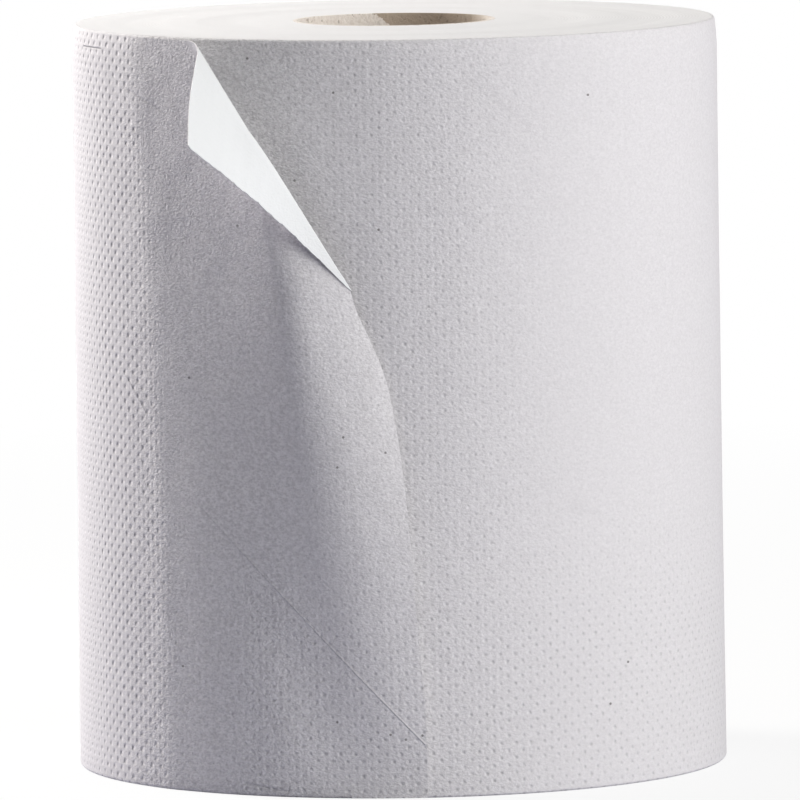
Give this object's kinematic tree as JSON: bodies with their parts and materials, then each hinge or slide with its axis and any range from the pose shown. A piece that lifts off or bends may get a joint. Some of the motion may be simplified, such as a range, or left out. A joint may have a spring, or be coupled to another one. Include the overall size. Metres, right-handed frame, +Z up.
{
  "type": "paper towel roll",
  "caption": "Wound roll of white embossed paper towel on a thin card core, with its outer end lifting off and the top corner folded forward.",
  "frame": {"origin": "on the roll's axis, in the plane that it stands on", "axes": "+Z up along the axis of the core, -Y towards the side where the loose end lies, +X to the right seen from there"},
  "size_m": [0.182, 0.2089, 0.21],
  "materials": {
    "towel_paper": "matte, embossed with small pits",
    "core_card": "matte"
  },
  "bodies": {
    "root": {"paper_roll": "towel_paper", "core_tube": "core_card"}
  },
  "joints": []
}
